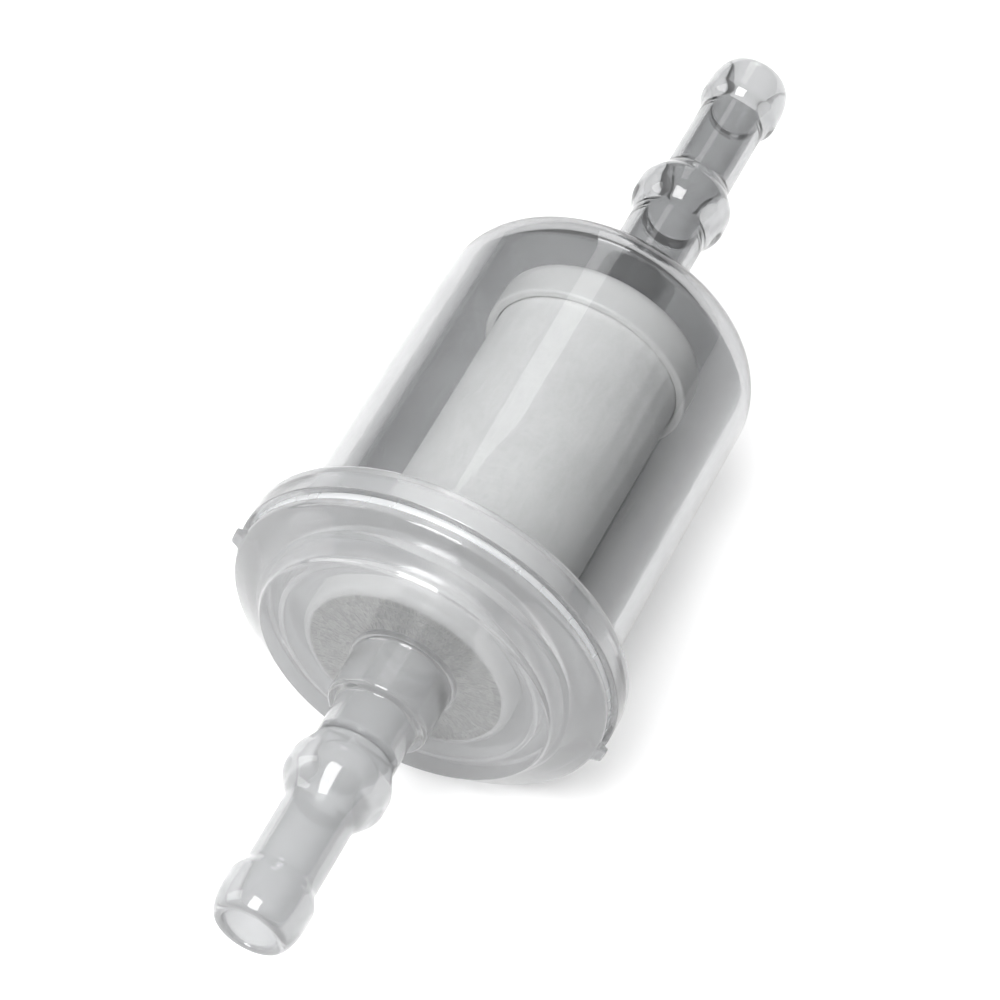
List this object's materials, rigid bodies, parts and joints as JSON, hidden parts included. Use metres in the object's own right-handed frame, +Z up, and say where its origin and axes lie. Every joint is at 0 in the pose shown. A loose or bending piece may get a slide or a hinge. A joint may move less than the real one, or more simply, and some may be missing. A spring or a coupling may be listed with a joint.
{
  "type": "fuel filter",
  "caption": "In-line fuel filter: clear cylindrical housing with a domed end and a flanged cap, a stepped hose nipple at each end, and a white wrapped element inside.",
  "frame": {"origin": "middle of the overall length, on the flow axis", "axes": "+X along the flow axis towards the inlet nipple at the domed end; +Z up with the filter lying level; the two drive lugs lean 18.5 degrees up from the Y axis"},
  "size_m": [0.104, 0.0358, 0.0358],
  "materials": {
    "clear_cup": "clear moulded nylon, polished",
    "clear_cap": "clear moulded nylon, slightly hazy",
    "weld": "re-set plastic, rough",
    "end_cap_white": "satin white",
    "fleece": "smooth non-woven",
    "filter_paper": "resin-treated paper",
    "core_plastic": "satin white",
    "potting": "cured adhesive",
    "seal_rubber": "smooth rubber"
  },
  "bodies": {
    "root": {"housing_cup": "clear_cup", "outlet_cap": "clear_cap", "weld_bead": "weld", "upper_end_cap": "end_cap_white", "lower_end_cap": "end_cap_white", "fleece_sleeve": "fleece", "pleated_paper": "filter_paper", "seam_strip": "potting", "support_core": "core_plastic", "upper_potting": "potting", "lower_potting": "potting", "seal_ring": "seal_rubber"}
  },
  "joints": []
}
